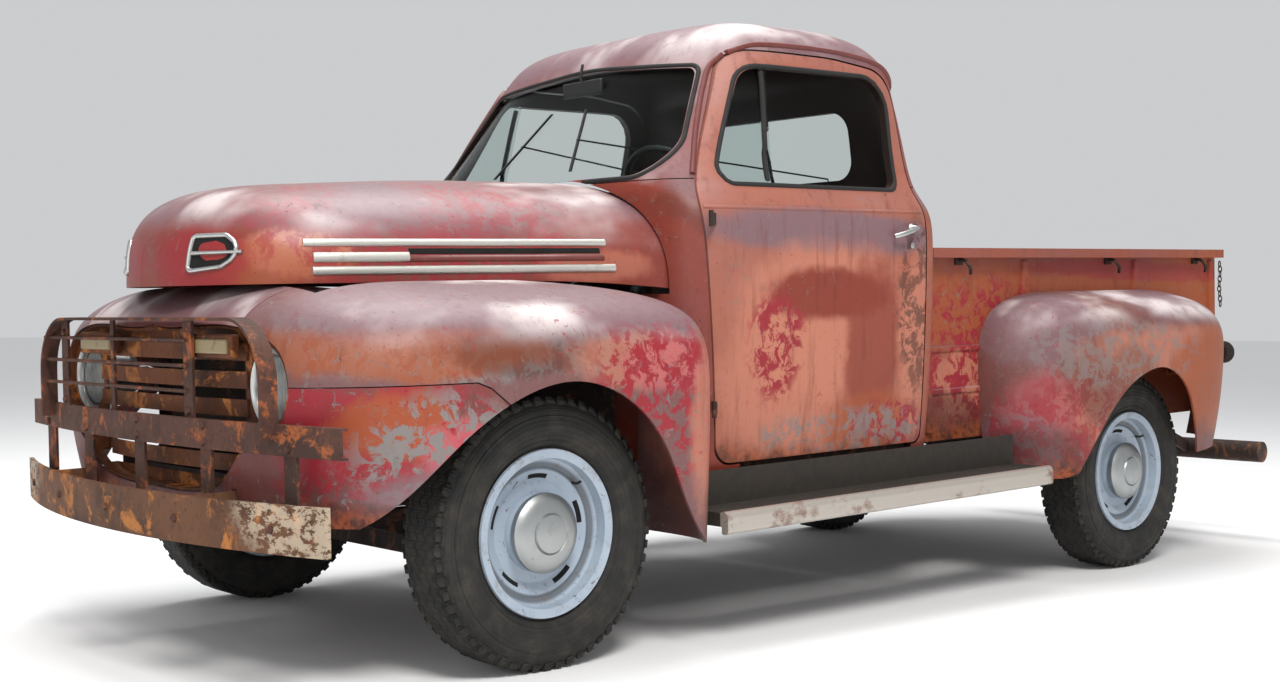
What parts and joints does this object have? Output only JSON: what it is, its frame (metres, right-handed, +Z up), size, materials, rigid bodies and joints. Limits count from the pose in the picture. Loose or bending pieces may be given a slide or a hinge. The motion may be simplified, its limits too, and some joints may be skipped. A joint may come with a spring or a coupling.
{
  "type": "pickup truck",
  "caption": "Old rusty pickup truck with rounded fenders, dished grille behind a pipe-and-strap guard, a two-door cab, running boards and an open load bed.",
  "frame": {"origin": "on the ground at the centre of the bounding box", "axes": "front faces -Y, +X is the truck's own left, +Z up"},
  "size_m": [1.9092, 4.9799, 1.9423],
  "materials": {
    "faded_paint": "oxidised red-brown paint",
    "frame_steel": "old black paint with rust",
    "engine_iron": "greasy iron",
    "rusty_steel": "rusted",
    "dark_steel": "worn dark paint",
    "bright_metal": "dulled plating",
    "clear_glass": "clear",
    "tyre_rubber": "worn black rubber",
    "wheel_paint": "pale blue-grey paint",
    "seat_leather": "cracked",
    "dark_plastic": "dull black"
  },
  "bodies": {
    "truck": {"bed_floor": "dark_steel", "bed_front_panel": "faded_paint", "bed_sides": "faded_paint", "cab_back_panel": "faded_paint", "cab_cowl": "faded_paint", "cab_floor": "dark_steel", "cab_glass": "clear_glass", "cab_roof": "faded_paint", "chassis_frame": "frame_steel", "dashboard": "faded_paint", "engine_block": "engine_iron", "exhaust": "rusty_steel", "front_axle": "frame_steel", "front_bumper": "rusty_steel", "front_fenders": "faded_paint", "gearbox_and_drive_shaft": "engine_iron", "grille_bars": "rusty_steel", "grille_guard": "rusty_steel", "grille_surround": "rusty_steel", "headlight_lenses": "clear_glass", "headlights": "bright_metal", "inner_wheel_houses": "dark_steel", "leaf_springs": "frame_steel", "lower_front_panel": "faded_paint", "nose_panel": "faded_paint", "radiator": "frame_steel", "rear_axle": "frame_steel", "rear_bumper": "dark_steel", "rear_fenders": "faded_paint", "running_boards": "dark_steel", "seat": "seat_leather", "steering_column": "dark_plastic"},
    "hood": {"hood": "faded_paint"},
    "door_left": {"door_left": "faded_paint", "vent_window_left": "clear_glass"},
    "knuckle_left": {"steering_knuckle_left": "frame_steel"},
    "door_right": {"door_right": "faded_paint", "vent_window_right": "clear_glass"},
    "knuckle_right": {"steering_knuckle_right": "frame_steel"},
    "tie_rod": {"tie_rod": "frame_steel"},
    "tailgate": {"tailgate": "faded_paint"},
    "steering_wheel": {"steering_wheel": "dark_plastic"},
    "wheel_front_left": {"tyre_front_left": "tyre_rubber", "wheel_front_left": "wheel_paint"},
    "wheel_front_right": {"tyre_front_right": "tyre_rubber", "wheel_front_right": "wheel_paint"},
    "wheel_rear_left": {"tyre_rear_left": "tyre_rubber", "wheel_rear_left": "wheel_paint"},
    "wheel_rear_right": {"tyre_rear_right": "tyre_rubber", "wheel_rear_right": "wheel_paint"}
  },
  "joints": [
    {"name": "steer_left", "type": "hinge", "parent": "truck", "child": "knuckle_left", "pos_m": [0.62, -1.6079, 0.37], "axis": [0, 0, 1], "range_deg": [-28, 28]},
    {"name": "steer_right", "type": "hinge", "parent": "truck", "child": "knuckle_right", "pos_m": [-0.62, -1.6079, 0.37], "axis": [0, 0, 1], "range_deg": [-28, 28]},
    {"name": "tie_rod_pivot", "type": "hinge", "parent": "knuckle_left", "child": "tie_rod", "pos_m": [0.62, -1.4579, 0.248], "axis": [0, 0, 1], "range_deg": [-28, 28]},
    {"name": "steering_wheel_turn", "type": "hinge", "parent": "truck", "child": "steering_wheel", "pos_m": [0.36, -0.70634, 1.31769], "axis": [0, 0.8329, 0.5534], "range_deg": [-448, 448]},
    {"name": "wheel_front_left_spin", "type": "hinge", "parent": "knuckle_left", "child": "wheel_front_left", "pos_m": [0.745, -1.6079, 0.37], "axis": [1, 0, 0], "continuous": true},
    {"name": "wheel_front_right_spin", "type": "hinge", "parent": "knuckle_right", "child": "wheel_front_right", "pos_m": [-0.745, -1.6079, 0.37], "axis": [1, 0, 0], "continuous": true},
    {"name": "wheel_rear_left_spin", "type": "hinge", "parent": "truck", "child": "wheel_rear_left", "pos_m": [0.72, 1.2881, 0.37], "axis": [1, 0, 0], "continuous": true},
    {"name": "wheel_rear_right_spin", "type": "hinge", "parent": "truck", "child": "wheel_rear_right", "pos_m": [-0.72, 1.2881, 0.37], "axis": [1, 0, 0], "continuous": true},
    {"name": "door_left_hinge", "type": "hinge", "parent": "truck", "child": "door_left", "pos_m": [0.787, -0.95541, 1.28072], "axis": [0, 0.0279, -0.9996], "range_deg": [0, 65]},
    {"name": "door_right_hinge", "type": "hinge", "parent": "truck", "child": "door_right", "pos_m": [-0.787, -0.95541, 1.28072], "axis": [0, -0.0279, 0.9996], "range_deg": [0, 65]},
    {"name": "hood_hinge", "type": "hinge", "parent": "truck", "child": "hood", "pos_m": [0, -1.04689, 1.40421], "axis": [-1, 0, 0], "range_deg": [0, 48]},
    {"name": "tailgate_hinge", "type": "hinge", "parent": "truck", "child": "tailgate", "pos_m": [0, 2.20185, 0.70665], "axis": [-1, 0, 0], "range_deg": [0, 90]}
  ],
  "couplings": [
    {"joint": "steer_right", "follows": "steer_left", "ratio": 1},
    {"joint": "tie_rod_pivot", "follows": "steer_left", "ratio": -1},
    {"joint": "steering_wheel_turn", "follows": "steer_left", "ratio": 16}
  ]
}
